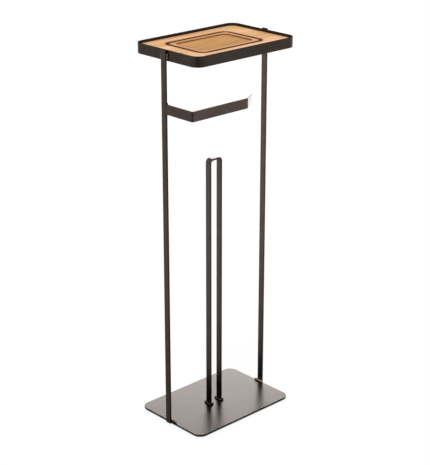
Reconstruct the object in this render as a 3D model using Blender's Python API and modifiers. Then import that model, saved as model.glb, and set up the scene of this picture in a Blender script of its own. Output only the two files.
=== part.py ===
"""Freestanding toilet paper holder: a welded frame of flat steel bar with a rimmed wooden tray on top.

X runs along the long side, Y towards the back and Z up. The origin is on the floor, under the
middle of the tray. All lengths are in metres.
"""

import math

import bmesh
import bpy
from mathutils import Matrix, Vector

# Overall sizes. The base plate is as long as the tray, so that both uprights stand straight.
OVERALL_HEIGHT = 0.7535
TRAY_LENGTH = 0.250
TRAY_WIDTH = 0.172

# Flat steel bar of the two uprights and of the spare roll post, rolled with rounded edges. The right
# upright ends a little above the rim, and the left one ends level with it.
BAR_WIDTH = 0.013
BAR_THICKNESS = 0.004
BAR_EDGE_RADIUS = 0.0012
RIGHT_UPRIGHT_RISE = 0.0015

# Base plate, and the pads glued under its corners.
BASE_WIDTH = 0.176
BASE_THICKNESS = 0.0035
BASE_CORNER_RADIUS = 0.018
BASE_EDGE_RADIUS = 0.0003
PAD_DIAMETER = 0.018
PAD_THICKNESS = 0.0017
PAD_INSET = 0.020

# Steel rim of the tray, and the sheet inside it that carries the board.
RIM_HEIGHT = 0.020
RIM_THICKNESS = 0.002
RIM_CORNER_RADIUS = 0.018
RIM_EDGE_RADIUS = 0.0004
SHEET_THICKNESS = 0.001

# Wooden board, which lies loose in the rim with its top below the rim's edge.
BOARD_THICKNESS = 0.012
BOARD_DROP = 0.005
BOARD_CLEARANCE = 0.0008
BOARD_EDGE_RADIUS = 0.0008

# Wooden insert, which lies loose in the board's pocket, and the recess in its top.
INSERT_LENGTH = 0.152
INSERT_WIDTH = 0.101
INSERT_THICKNESS = 0.008
INSERT_CORNER_RADIUS = 0.013
INSERT_CLEARANCE = 0.0026
INSERT_OFFSET = -0.004
INSERT_EDGE_RADIUS = 0.0008
RECESS_BORDER = 0.0125
RECESS_DEPTH = 0.0015
RECESS_CORNER_RADIUS = 0.009

# Spare roll post: a bar bent into a narrow arch, which goes up through the rolls' cores.
POST_HEIGHT = 0.5195
POST_PITCH = 0.028
POST_OFFSET = -0.005
POST_BEND_RADIUS = 0.0045

# Roll arm: a bar on edge that runs forwards, then across, and ends in a lip turned back.
ARM_BAR_HEIGHT = 0.0195
ARM_BAR_THICKNESS = 0.003
ARM_EDGE_RADIUS = 0.0005
ARM_DROP = 0.0985
ARM_REACH = 0.076
ARM_RUN = 0.135
ARM_BEND_RADIUS = 0.002
LIP_LENGTH = 0.028
LIP_ANGLE = math.radians(31)
LIP_BEND_RADIUS = 0.003

# Weld beads: radius, how far a foot's bead runs past the bar, how far the bead's middle stands off
# its corner, and the ripples along it.
FOOT_BEAD_RADIUS = 0.0032
LEFT_BEAD_FRONT_OVERRUN = 0.0115
LEFT_BEAD_BACK_OVERRUN = 0.003
RIGHT_BEAD_FRONT_OVERRUN = 0.003
RIGHT_BEAD_BACK_OVERRUN = 0.006
POST_BEAD_SIZE = 0.0038
RIM_BEAD_RADIUS = 0.0027
RIM_BEAD_LENGTH = 0.012
RIM_BEAD_DROP = 0.0055
ARM_BEAD_RADIUS = 0.0013
SHEET_BEAD_RADIUS = 0.0010
SHEET_BEAD_LENGTH = 0.014
SHEET_BEAD_PITCH = 0.120
BEAD_STANDOFF_SHARE = 0.35
BEAD_RIPPLE = 0.0018
BEAD_WAIST_SHARE = 0.80
BEAD_END_SHARE = 0.55
BEAD_PROFILE_SHARES = ((0, 0), (1, 0), (0.80, 0.50), (0.45, 0.82), (0, 1))
BEAD_MERGE = 0.00001

# Gap between pieces that touch on the real object, and how far a cutter runs past a face.
JOINT_GAP = 0.0003
CUT_OVERRUN = 0.002

# Smoothness of the round stretches.
CORNER_SEGMENTS = 8
BEND_SEGMENTS = 6
EDGE_SEGMENTS = 2
PAD_SEGMENTS = 32
BEAD_RESOLUTION = 2
COLLAR_SEGMENTS = 3
SHARP_ANGLE = math.radians(40)

# Levels and planes that several pieces share.
BASE_BOTTOM = PAD_THICKNESS + JOINT_GAP
BASE_TOP = BASE_BOTTOM + BASE_THICKNESS
RIM_TOP = OVERALL_HEIGHT - RIGHT_UPRIGHT_RISE
RIM_BOTTOM = RIM_TOP - RIM_HEIGHT
BOARD_TOP = RIM_TOP - BOARD_DROP
BOARD_BOTTOM = BOARD_TOP - BOARD_THICKNESS
SHEET_BOTTOM = BOARD_BOTTOM - JOINT_GAP - SHEET_THICKNESS
UPRIGHT_INNER = TRAY_LENGTH / 2 + JOINT_GAP
UPRIGHT_CENTRE = UPRIGHT_INNER + BAR_THICKNESS / 2
ARM_CENTRE_X = -UPRIGHT_INNER - BAR_THICKNESS + ARM_BAR_THICKNESS / 2
ARM_START_Y = -BAR_WIDTH / 2 - JOINT_GAP
ARM_TOP = RIM_TOP - ARM_DROP
ARM_BOTTOM = ARM_TOP - ARM_BAR_HEIGHT


def clear_scene():
    """Removes what a new Blender file holds."""
    for item in list(bpy.data.objects):
        bpy.data.objects.remove(item, do_unlink=True)


def add_collection(name):
    collection = bpy.data.collections.new(name)
    bpy.context.scene.collection.children.link(collection)
    return collection


def linear(red, green, blue):
    """Turns a colour in screen values from 0 to 255 into the linear colour of a shader."""
    shares = [value / 255 for value in (red, green, blue)]
    return [s / 12.92 if s <= 0.04045 else ((s + 0.055) / 1.055) ** 2.4 for s in shares] + [1]


def make_material(name, colour, roughness, metallic):
    """A Principled surface with one colour."""
    material = bpy.data.materials.new(name)
    material.use_nodes = True
    shader = material.node_tree.nodes["Principled BSDF"]
    shader.inputs["Base Color"].default_value = colour
    shader.inputs["Roughness"].default_value = roughness
    shader.inputs["Metallic"].default_value = metallic
    material.diffuse_color = colour
    return material


def add_part(name, mesh, place, material, parent):
    """A finished sub-part: its mesh, where it stands, what it is made of and what it hangs on."""
    part = bpy.data.objects.new(name, mesh)
    PARTS.objects.link(part)
    part.location = place
    part.parent = parent
    mesh.materials.append(material)
    mesh.shade_smooth()
    mesh.set_sharp_from_angle(angle=SHARP_ANGLE)
    return part


def add_empty(name, place, parent=None):
    empty = bpy.data.objects.new(name, None)
    PARTS.objects.link(empty)
    empty.location = place
    empty.parent = parent
    return empty


def mesh_from(bm, name):
    mesh = bpy.data.meshes.new(name)
    bm.to_mesh(mesh)
    bm.free()
    return mesh


def block_bmesh(length, width, height, corner_radius=0):
    """A slab on the XY plane, centred on Z, with its four upright corners rounded."""
    bm = bmesh.new()
    bmesh.ops.create_cube(bm, size=1)
    bmesh.ops.scale(bm, vec=(length, width, height), verts=bm.verts)
    bmesh.ops.translate(bm, vec=(0, 0, height / 2), verts=bm.verts)
    if corner_radius > 0:
        upright = [e for e in bm.edges if abs(e.verts[0].co.z - e.verts[1].co.z) > height / 2]
        bmesh.ops.bevel(
            bm, geom=upright, offset=corner_radius, segments=CORNER_SEGMENTS,
            profile=0.5, affect="EDGES",
        )
    return bm


def block_mesh(name, length, width, height, corner_radius=0):
    return mesh_from(block_bmesh(length, width, height, corner_radius), name)


def band_mesh(name, length, width, height, corner_radius):
    """An open band with rounded corners: the slab's wall without its top and bottom."""
    bm = block_bmesh(length, width, height, corner_radius)
    bm.normal_update()
    caps = [face for face in bm.faces if abs(face.normal.z) > math.cos(SHARP_ANGLE)]
    bmesh.ops.delete(bm, geom=caps, context="FACES_ONLY")
    return mesh_from(bm, name)


def bent_path(corners, radii):
    """A flat path with its inner corners rounded. Radii are those of the path itself."""
    points = [corners[0]]
    for before, corner, after, radius in zip(corners, corners[1:], corners[2:], radii):
        way_in = (corner - before).normalized()
        way_out = (after - corner).normalized()
        turn = way_in.angle_signed(way_out)
        start = corner - way_in * radius * math.tan(abs(turn) / 2)
        side = Vector((way_in.y, -way_in.x)) * math.copysign(radius, turn)
        for step in range(BEND_SEGMENTS + 1):
            swing = Matrix.Rotation(-turn * step / BEND_SEGMENTS, 2)
            points.append(start + side - swing @ side)
    points.append(corners[-1])
    return points


def ribbon_mesh(name, path, width):
    """A flat path in XY, drawn up along Z into an open ribbon."""
    bm = bmesh.new()
    verts = [bm.verts.new((point.x, point.y, 0)) for point in path]
    edges = [bm.edges.new(pair) for pair in zip(verts, verts[1:])]
    drawn = bmesh.ops.extrude_edge_only(bm, edges=edges)["geom"]
    top = [item for item in drawn if isinstance(item, bmesh.types.BMVert)]
    bmesh.ops.translate(bm, vec=(0, 0, width), verts=top)
    bmesh.ops.recalc_face_normals(bm, faces=bm.faces)
    return mesh_from(bm, name)


def thicken(part, thickness, offset):
    """Solidify: offset 0 keeps the surface in the middle of the wall, and -1 on its outside."""
    wall = part.modifiers.new("wall", "SOLIDIFY")
    wall.thickness = thickness
    wall.offset = offset
    wall.use_even_offset = True


def ease_edges(part, radius):
    """Rounds the sharp edges, as rolling, grinding or sanding leaves them."""
    easing = part.modifiers.new("eased edges", "BEVEL")
    easing.width = radius
    easing.segments = EDGE_SEGMENTS
    easing.limit_method = "ANGLE"
    easing.angle_limit = SHARP_ANGLE


def add_cutter(name, mesh, place):
    cutter = bpy.data.objects.new(name, mesh)
    CUTTERS.objects.link(cutter)
    cutter.location = place
    cutter.hide_render = True
    cutter.display_type = "WIRE"
    return cutter


def cut(part, cutter):
    difference = part.modifiers.new("cut by " + cutter.name, "BOOLEAN")
    difference.operation = "DIFFERENCE"
    difference.solver = "EXACT"
    difference.object = cutter


def box_cutter(name, low, high):
    """A cutter between two corners, grown by the gap that welded pieces keep."""
    size = [b - a + 2 * JOINT_GAP for a, b in zip(low, high)]
    middle = [(a + b) / 2 for a, b in zip(low, high)]
    mesh = block_mesh(name, *size)
    return add_cutter(name, mesh, (middle[0], middle[1], low[2] - JOINT_GAP))


def walk(corners, step):
    """Points at about equal steps along a path, so that ripples come evenly."""
    points = []
    for start, end in zip(corners, corners[1:]):
        count = max(1, round((end - start).length / step))
        points += [start.lerp(end, index / count) for index in range(count)]
    points.append(corners[-1])
    return points


def bead_part(name, corners, radius, parent, cutters):
    """Weld metal: a rippled tube along a path, trimmed by the pieces that it joins."""
    curve = bpy.data.curves.new(name, "CURVE")
    curve.dimensions = "3D"
    curve.bevel_depth = radius
    curve.bevel_resolution = BEAD_RESOLUTION
    curve.use_fill_caps = True
    points = walk(corners, BEAD_RIPPLE / 2)
    spline = curve.splines.new("POLY")
    spline.points.add(len(points) - 1)
    for index, (node, place) in enumerate(zip(spline.points, points)):
        node.co = (*place, 1)
        node.radius = BEAD_WAIST_SHARE if index % 2 else 1
    spline.points[0].radius = BEAD_END_SHARE
    spline.points[-1].radius = BEAD_END_SHARE
    draft = bpy.data.objects.new(name + "_draft", curve)
    PARTS.objects.link(draft)
    bpy.context.view_layer.update()
    evaluated = draft.evaluated_get(bpy.context.evaluated_depsgraph_get())
    mesh = bpy.data.meshes.new_from_object(evaluated)
    bpy.data.objects.remove(draft, do_unlink=True)
    bm = bmesh.new()
    bm.from_mesh(mesh)
    bmesh.ops.remove_doubles(bm, verts=bm.verts, dist=BEAD_MERGE)
    bmesh.ops.recalc_face_normals(bm, faces=bm.faces)
    bm.to_mesh(mesh)
    bm.free()
    bead = add_part(name, mesh, (0, 0, 0), STEEL, parent)
    for cutter in cutters:
        cut(bead, cutter)
    return bead


def make_base(frame):
    """The plate that the holder stands on, and one pad under each of its corners."""
    mesh = block_mesh("base_plate", TRAY_LENGTH, BASE_WIDTH, BASE_THICKNESS, BASE_CORNER_RADIUS)
    plate = add_part("base_plate", mesh, (0, 0, BASE_BOTTOM), STEEL, frame)
    ease_edges(plate, BASE_EDGE_RADIUS)
    pad_x = TRAY_LENGTH / 2 - PAD_INSET
    pad_y = BASE_WIDTH / 2 - PAD_INSET
    corners = {
        "front_left": (-pad_x, -pad_y), "front_right": (pad_x, -pad_y),
        "back_left": (-pad_x, pad_y), "back_right": (pad_x, pad_y),
    }
    for corner, (x, y) in corners.items():
        bm = bmesh.new()
        bmesh.ops.create_cone(
            bm, cap_ends=True, segments=PAD_SEGMENTS, radius1=PAD_DIAMETER / 2,
            radius2=PAD_DIAMETER / 2, depth=PAD_THICKNESS,
        )
        pad = mesh_from(bm, "pad_" + corner)
        add_part("pad_" + corner, pad, (x, y, PAD_THICKNESS / 2), RUBBER, frame)


def make_uprights(frame):
    """Two bars outside the short edges of the plate and of the rim."""
    for name, side, top in (("left_upright", -1, RIM_TOP), ("right_upright", 1, OVERALL_HEIGHT)):
        mesh = block_mesh(name, BAR_THICKNESS, BAR_WIDTH, top - BASE_BOTTOM)
        upright = add_part(name, mesh, (side * UPRIGHT_CENTRE, 0, BASE_BOTTOM), STEEL, frame)
        ease_edges(upright, BAR_EDGE_RADIUS)


def make_post(frame):
    """The arch: its path is drawn in XY, and the part is stood up about X."""
    half = POST_PITCH / 2
    foot = JOINT_GAP
    crown = POST_HEIGHT - BAR_THICKNESS / 2
    corners = [Vector(p) for p in ((-half, foot), (-half, crown), (half, crown), (half, foot))]
    path_radius = POST_BEND_RADIUS + BAR_THICKNESS / 2
    mesh = ribbon_mesh("spare_roll_post", bent_path(corners, (path_radius, path_radius)), BAR_WIDTH)
    place = (POST_OFFSET, BAR_WIDTH / 2, BASE_TOP)
    post = add_part("spare_roll_post", mesh, place, STEEL, frame)
    post.rotation_euler = (math.pi / 2, 0, 0)
    thicken(post, BAR_THICKNESS, 0)
    ease_edges(post, BAR_EDGE_RADIUS)


def make_arm(frame):
    """The bent arm that one roll hangs on, welded on edge to the left upright."""
    corner = Vector((ARM_CENTRE_X, -ARM_REACH))
    bend = corner + Vector((ARM_RUN, 0))
    tip = bend + LIP_LENGTH * Vector((math.cos(LIP_ANGLE), math.sin(LIP_ANGLE)))
    half = ARM_BAR_THICKNESS / 2
    radii = (ARM_BEND_RADIUS + half, LIP_BEND_RADIUS + half)
    path = bent_path([Vector((ARM_CENTRE_X, ARM_START_Y)), corner, bend, tip], radii)
    mesh = ribbon_mesh("roll_arm", path, ARM_BAR_HEIGHT)
    arm = add_part("roll_arm", mesh, (0, 0, ARM_BOTTOM), STEEL, frame)
    thicken(arm, ARM_BAR_THICKNESS, 0)
    ease_edges(arm, ARM_EDGE_RADIUS)


def make_tray(frame):
    """The rim, a band bent round the tray, and the sheet welded inside it."""
    mesh = band_mesh("tray_rim", TRAY_LENGTH, TRAY_WIDTH, RIM_HEIGHT, RIM_CORNER_RADIUS)
    rim = add_part("tray_rim", mesh, (0, 0, RIM_BOTTOM), STEEL, frame)
    thicken(rim, RIM_THICKNESS, -1)
    ease_edges(rim, RIM_EDGE_RADIUS)
    inset = RIM_THICKNESS + JOINT_GAP
    mesh = block_mesh(
        "tray_sheet", TRAY_LENGTH - 2 * inset, TRAY_WIDTH - 2 * inset,
        SHEET_THICKNESS, RIM_CORNER_RADIUS - inset,
    )
    add_part("tray_sheet", mesh, (0, 0, SHEET_BOTTOM), STEEL, frame)


def make_board(lift):
    """The wooden board, with a pocket for the insert. Its origin is in the middle of its top."""
    inset = RIM_THICKNESS + BOARD_CLEARANCE
    mesh = block_mesh(
        "wood_board", TRAY_LENGTH - 2 * inset, TRAY_WIDTH - 2 * inset,
        BOARD_THICKNESS, RIM_CORNER_RADIUS - inset,
    )
    mesh.transform(Matrix.Translation((0, 0, -BOARD_THICKNESS)))
    board = add_part("wood_board", mesh, (0, 0, 0), WOOD, lift)
    pocket = block_mesh(
        "pocket_cutter", INSERT_LENGTH + 2 * INSERT_CLEARANCE, INSERT_WIDTH + 2 * INSERT_CLEARANCE,
        INSERT_THICKNESS + JOINT_GAP + CUT_OVERRUN, INSERT_CORNER_RADIUS + INSERT_CLEARANCE,
    )
    place = (INSERT_OFFSET, 0, BOARD_TOP - INSERT_THICKNESS - JOINT_GAP)
    cut(board, add_cutter("pocket_cutter", pocket, place))
    ease_edges(board, BOARD_EDGE_RADIUS)


def make_insert(lift):
    """The loose wooden insert, flush with the board, with a shallow recess in its top."""
    mesh = block_mesh(
        "wood_insert", INSERT_LENGTH, INSERT_WIDTH, INSERT_THICKNESS, INSERT_CORNER_RADIUS
    )
    mesh.transform(Matrix.Translation((0, 0, -INSERT_THICKNESS)))
    insert = add_part("wood_insert", mesh, (0, 0, 0), WOOD, lift)
    recess = block_mesh(
        "recess_cutter", INSERT_LENGTH - 2 * RECESS_BORDER, INSERT_WIDTH - 2 * RECESS_BORDER,
        RECESS_DEPTH + CUT_OVERRUN, RECESS_CORNER_RADIUS,
    )
    cut(insert, add_cutter("recess_cutter", recess, (INSERT_OFFSET, 0, BOARD_TOP - RECESS_DEPTH)))
    ease_edges(insert, INSERT_EDGE_RADIUS)


def make_foot_welds(frame, plate_cutter, upright_cutters):
    """A fillet on the plate along each upright's inner face, which runs on past the bar."""
    standoff = FOOT_BEAD_RADIUS * BEAD_STANDOFF_SHARE
    height = BASE_TOP + JOINT_GAP + standoff
    beads = (
        ("left_foot_weld", -1, LEFT_BEAD_FRONT_OVERRUN, LEFT_BEAD_BACK_OVERRUN),
        ("right_foot_weld", 1, RIGHT_BEAD_FRONT_OVERRUN, RIGHT_BEAD_BACK_OVERRUN),
    )
    for name, side, front, back in beads:
        x = side * (UPRIGHT_INNER - JOINT_GAP - standoff)
        ends = (-BAR_WIDTH / 2 - front, BAR_WIDTH / 2 + back)
        path = [Vector((x, y, height)) for y in ends]
        cutters = (plate_cutter, upright_cutters[side])
        bead_part(name, path, FOOT_BEAD_RADIUS, frame, cutters)


def bar_outline(half_x, half_y, offset, height):
    """The outline of an upright bar, pushed out by the offset: as many points at any offset."""
    centre_x = half_x - BAR_EDGE_RADIUS
    centre_y = half_y - BAR_EDGE_RADIUS
    radius = BAR_EDGE_RADIUS + offset
    corners = []
    for quarter, (side_x, side_y) in enumerate(((1, 1), (-1, 1), (-1, -1), (1, -1))):
        for step in range(COLLAR_SEGMENTS + 1):
            angle = math.pi / 2 * (quarter + step / COLLAR_SEGMENTS)
            x = side_x * centre_x + radius * math.cos(angle)
            y = side_y * centre_y + radius * math.sin(angle)
            corners.append(Vector((x, y, height)))
    points = []
    for index, start in enumerate(corners):
        end = corners[(index + 1) % len(corners)]
        turning = (index + 1) % (COLLAR_SEGMENTS + 1) != 0
        run = 2 * (centre_y if abs(start.x) > centre_x and start.x * end.x > 0 else centre_x)
        count = 1 if turning else max(1, round(run / (BEAD_RIPPLE / 2)))
        points += [start.lerp(end, step / count) for step in range(count)]
    return points


def collar_mesh(name, half_x, half_y, size):
    """A rippled fillet right round the foot of a bar, as loops that are bridged into one skin."""
    bm = bmesh.new()
    loops = []
    for out_share, up_share in BEAD_PROFILE_SHARES:
        wide = bar_outline(half_x, half_y, JOINT_GAP + size * out_share, 0)
        slim = bar_outline(half_x, half_y, JOINT_GAP + size * out_share * BEAD_WAIST_SHARE, 0)
        verts = []
        for index, (crest, waist) in enumerate(zip(wide, slim)):
            low = index % 2
            place = waist if low else crest
            rise = size * up_share * (BEAD_WAIST_SHARE if low else 1)
            verts.append(bm.verts.new(place + Vector((0, 0, rise))))
        pairs = zip(verts, verts[1:] + verts[:1])
        loops.append([bm.edges.new(pair) for pair in pairs])
    for lower, upper in zip(loops, loops[1:] + loops[:1]):
        bmesh.ops.bridge_loops(bm, edges=lower + upper)
    bmesh.ops.recalc_face_normals(bm, faces=bm.faces)
    return mesh_from(bm, name)


def make_post_welds(frame):
    """A fillet right round each leg of the post, where it stands on the plate."""
    for name, side in (("post_left_weld", -1), ("post_right_weld", 1)):
        mesh = collar_mesh(name, BAR_THICKNESS / 2, BAR_WIDTH / 2, POST_BEAD_SIZE)
        place = (POST_OFFSET + side * POST_PITCH / 2, 0, BASE_TOP + JOINT_GAP)
        add_part(name, mesh, place, STEEL, frame)


def make_rim_welds(frame, upright_cutters):
    """An upright bead on both sides of each bar, where it meets the rim's outer face."""
    standoff = RIM_BEAD_RADIUS * BEAD_STANDOFF_SHARE
    half_y = BAR_WIDTH / 2 + JOINT_GAP + standoff
    top = RIM_TOP - RIM_BEAD_DROP
    half_length = TRAY_LENGTH / 2
    half_width = TRAY_WIDTH / 2 - RIM_CORNER_RADIUS
    rim_cutter = box_cutter(
        "rim_cutter", (-half_length, -half_width, RIM_BOTTOM), (half_length, half_width, RIM_TOP)
    )
    for name, side in (("left_rim_weld", -1), ("right_rim_weld", 1)):
        x = side * (half_length + JOINT_GAP + standoff)
        for edge, y in (("_front", -half_y), ("_back", half_y)):
            path = [Vector((x, y, top - RIM_BEAD_LENGTH)), Vector((x, y, top))]
            cutters = (rim_cutter, upright_cutters[side])
            bead_part(name + edge, path, RIM_BEAD_RADIUS, frame, cutters)


def make_arm_weld(frame, upright_cutters):
    """A small fillet over, inside and under the arm's end, on the left upright's front edge."""
    standoff = ARM_BEAD_RADIUS * BEAD_STANDOFF_SHARE
    outer = ARM_CENTRE_X - ARM_BAR_THICKNESS / 2
    inner = ARM_CENTRE_X + ARM_BAR_THICKNESS / 2
    y = -BAR_WIDTH / 2 - JOINT_GAP - standoff
    start_x = outer + ARM_BEAD_RADIUS
    side_x = inner + JOINT_GAP + standoff
    over = ARM_TOP + JOINT_GAP + standoff
    under = ARM_BOTTOM - JOINT_GAP - standoff
    corners = [
        Vector(p) for p in ((start_x, over), (side_x, over), (side_x, under), (start_x, under))
    ]
    turns = bent_path(corners, (ARM_BEAD_RADIUS, ARM_BEAD_RADIUS))
    path = [Vector((point.x, y, point.y)) for point in turns]
    arm_cutter = box_cutter("arm_cutter", (outer, -ARM_REACH / 2, ARM_BOTTOM), (inner, 0, ARM_TOP))
    bead_part("arm_weld", path, ARM_BEAD_RADIUS, frame, (upright_cutters[-1], arm_cutter))


def make_sheet_welds(frame):
    """Short beads under the sheet, along the rim's inner faces."""
    standoff = SHEET_BEAD_RADIUS * BEAD_STANDOFF_SHARE
    inset = RIM_THICKNESS + JOINT_GAP + standoff
    half_x = TRAY_LENGTH / 2 - inset
    half_y = TRAY_WIDTH / 2 - inset
    height = SHEET_BOTTOM - JOINT_GAP - standoff
    along_x = Vector((SHEET_BEAD_LENGTH / 2, 0, 0))
    along_y = Vector((0, SHEET_BEAD_LENGTH / 2, 0))
    half_pitch = SHEET_BEAD_PITCH / 2
    beads = {
        "left": (-half_x, 0, along_y), "right": (half_x, 0, along_y),
        "front_left": (-half_pitch, -half_y, along_x), "front_right": (half_pitch, -half_y, along_x),
        "back_left": (-half_pitch, half_y, along_x), "back_right": (half_pitch, half_y, along_x),
    }
    mesh = band_mesh("wall_cutter", TRAY_LENGTH, TRAY_WIDTH, RIM_HEIGHT, RIM_CORNER_RADIUS)
    wall_cutter = add_cutter("wall_cutter", mesh, (0, 0, RIM_BOTTOM))
    thicken(wall_cutter, RIM_THICKNESS + JOINT_GAP, -1)
    sheet_cutter = box_cutter(
        "sheet_cutter",
        (-TRAY_LENGTH / 2, -TRAY_WIDTH / 2, SHEET_BOTTOM),
        (TRAY_LENGTH / 2, TRAY_WIDTH / 2, BOARD_TOP),
    )
    for place, (x, y, half_bead) in beads.items():
        middle = Vector((x, y, height))
        path = [middle - half_bead, middle + half_bead]
        cutters = (wall_cutter, sheet_cutter)
        bead_part("sheet_weld_" + place, path, SHEET_BEAD_RADIUS, frame, cutters)


def make_welds(frame):
    """All beads, trimmed by cutters that stand for the plate and the two uprights."""
    half_length = TRAY_LENGTH / 2
    half_width = BASE_WIDTH / 2
    plate_cutter = box_cutter(
        "plate_cutter", (-half_length, -half_width, BASE_BOTTOM), (half_length, half_width, BASE_TOP)
    )
    upright_cutters = {}
    for name, side in (("left_cutter", -1), ("right_cutter", 1)):
        middle = side * UPRIGHT_CENTRE
        low = (middle - BAR_THICKNESS / 2, -BAR_WIDTH / 2, BASE_BOTTOM)
        high = (middle + BAR_THICKNESS / 2, BAR_WIDTH / 2, OVERALL_HEIGHT)
        upright_cutters[side] = box_cutter(name, low, high)
    make_foot_welds(frame, plate_cutter, upright_cutters)
    make_post_welds(frame)
    make_rim_welds(frame, upright_cutters)
    make_arm_weld(frame, upright_cutters)
    make_sheet_welds(frame)


clear_scene()
PARTS = add_collection("freestanding_toilet_paper_holder")
CUTTERS = add_collection("cutters")
STEEL = make_material("powder_coated_steel", linear(74, 64, 59), 0.42, 0.0)
WOOD = make_material("bamboo", linear(226, 178, 128), 0.55, 0.0)
RUBBER = make_material("black_rubber", linear(30, 30, 30), 0.85, 0.0)

frame_empty = add_empty("frame", (0, 0, 0))
board_lift = add_empty("board_lift", (0, 0, BOARD_TOP), frame_empty)
insert_lift = add_empty("insert_lift", (INSERT_OFFSET, 0, 0), board_lift)

make_base(frame_empty)
make_uprights(frame_empty)
make_post(frame_empty)
make_arm(frame_empty)
make_tray(frame_empty)
make_board(board_lift)
make_insert(insert_lift)
make_welds(frame_empty)
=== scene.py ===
# %% [markdown]
# # A freestanding toilet paper holder
# The holder is a welded frame of flat steel bar with a satin, nearly black brown powder coat. It
# carries a rimmed tray with a bamboo board. The solids of all pieces come from the CAD model, and
# stay where they are. This lesson dresses them: smoother bends and corners, weld beads with their
# ripples, the coat and the wood, and then the light and the camera.

# %% The frame
import math

import bmesh
import bpy
from mathutils import Matrix, Vector


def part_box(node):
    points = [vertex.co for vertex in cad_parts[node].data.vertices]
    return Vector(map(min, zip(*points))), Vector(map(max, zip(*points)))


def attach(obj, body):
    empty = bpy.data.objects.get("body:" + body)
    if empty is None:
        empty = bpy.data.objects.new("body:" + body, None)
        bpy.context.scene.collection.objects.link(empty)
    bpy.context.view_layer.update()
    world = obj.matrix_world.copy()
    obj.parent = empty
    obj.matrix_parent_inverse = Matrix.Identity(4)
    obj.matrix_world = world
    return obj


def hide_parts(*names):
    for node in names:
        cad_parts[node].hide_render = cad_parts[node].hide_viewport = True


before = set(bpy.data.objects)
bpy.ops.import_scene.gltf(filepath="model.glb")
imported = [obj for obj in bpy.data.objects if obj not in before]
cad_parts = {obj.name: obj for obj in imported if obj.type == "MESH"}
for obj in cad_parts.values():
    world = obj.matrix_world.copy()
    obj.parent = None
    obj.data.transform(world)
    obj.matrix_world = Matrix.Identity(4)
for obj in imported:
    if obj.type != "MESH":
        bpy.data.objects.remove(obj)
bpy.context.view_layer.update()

# %% [markdown]
# ## The camera
# A photograph has a viewpoint, a direction and a focal length. They were found by matching the
# corners of the tray and of the base plate and the lines of the two uprights. The camera stands
# front left of the holder and looks down by about twenty degrees. Its lens is long, because the
# photograph shows hardly any convergence. It could stand level with a shifted lens, as the real one
# seems to, but then no other view would be centred, so it looks straight at the middle instead.

# %% The camera
CAMERA_PLACE = Vector((-1.6442, -1.7539, 1.2918))
CAMERA_HEADING = math.radians(43.11)
CAMERA_DIP = math.radians(20.957)
CAMERA_LENS_MM = 102.8
CAMERA_SENSOR_MM = 36
CAMERA_NEAREST = 0.05
CAMERA_FARTHEST = 60

camera_data = bpy.data.cameras.new("camera")
camera_data.sensor_width = CAMERA_SENSOR_MM
camera_data.lens = CAMERA_LENS_MM
camera_data.clip_start = CAMERA_NEAREST
camera_data.clip_end = CAMERA_FARTHEST
camera = bpy.data.objects.new("camera", camera_data)
bpy.context.scene.collection.objects.link(camera)
camera.location = CAMERA_PLACE
camera.rotation_euler = (math.pi / 2 - CAMERA_DIP, 0, -CAMERA_HEADING)
bpy.context.scene.camera = camera
print("camera at", tuple(round(v, 3) for v in CAMERA_PLACE), "lens", CAMERA_LENS_MM, "mm")

# %% [markdown]
# ## Small helpers for shader nodes
# Every finish below is a tree of nodes, and small helpers keep the cells short. The main one adds a
# node and sets its sockets; others blend two colours, make noise, stretch a range of numbers, bring
# in a tint, tell which way the surface faces, or give it a bump. The first turns a colour as a
# screen shows it into the linear colour that a shader wants.

# %% Helpers for shader nodes
X, Y, Z = range(3)
# Nearly all of a noise lies in this range.
MOST_NOISE = (0.3, 0.7)


def screen(red, green, blue):
    """A colour in screen values from 0 to 255, as a shader's linear colour."""
    shares = [value / 255 for value in (red, green, blue)]
    return [s / 12.92 if s <= 0.04045 else ((s + 0.055) / 1.055) ** 2.4 for s in shares] + [1]


def add(tree, kind, settings=None, **sockets):
    """Adds a node. Settings are its own properties; a socket gets a value or another node's output."""
    node = tree.nodes.new(kind)
    for name, value in (settings or {}).items():
        setattr(node, name, value)
    for name, value in sockets.items():
        socket = node.inputs[int(name[1:])] if name[0] == "i" and name[1:].isdigit() else node.inputs[name]
        if isinstance(value, bpy.types.NodeSocket):
            tree.links.new(value, socket)
        else:
            socket.default_value = value
    return node


def math_node(tree, operation, *values):
    """A sum, product or other operation on numbers."""
    sockets = {f"i{index}": value for index, value in enumerate(values)}
    return add(tree, "ShaderNodeMath", {"operation": operation}, **sockets).outputs[0]


def blend_colours(tree, factor, first, second, way="MIX"):
    """The first colour where the factor is 0, the second where it is 1."""
    settings = {"data_type": "RGBA", "blend_type": way}
    return add(tree, "ShaderNodeMix", settings, i0=factor, i6=first, i7=second).outputs[2]


def noise(tree, place, stretch, detail=3.0, rough=0.55):
    """Noise on the piece's own metres. The stretch is how many patches fit in a metre each way."""
    moved = add(tree, "ShaderNodeMapping", Vector=place, Scale=stretch).outputs[0]
    made = add(tree, "ShaderNodeTexNoise", Vector=moved, Scale=1.0, Detail=detail, Roughness=rough)
    return made.outputs[0]


def spread(tree, value, low, high, new_low, new_high):
    """Takes the range from low to high onto a new range, and holds its ends."""
    node = add(tree, "ShaderNodeMapRange", i0=value, i1=low, i2=high, i3=new_low, i4=new_high)
    return node.outputs[0]


def tint(tree, base, value, start, full, share, colour):
    """Brings a colour in while a value goes from start to full, where it has its whole share."""
    return blend_colours(tree, spread(tree, value, start, full, 0.0, share), base, colour)


def split(tree, vector):
    """The three numbers of a vector."""
    return add(tree, "ShaderNodeSeparateXYZ", Vector=vector).outputs


def way_it_faces(tree):
    """The three numbers of the direction in which the surface faces."""
    return split(tree, tree.nodes.new("ShaderNodeNewGeometry").outputs["Normal"])


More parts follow.
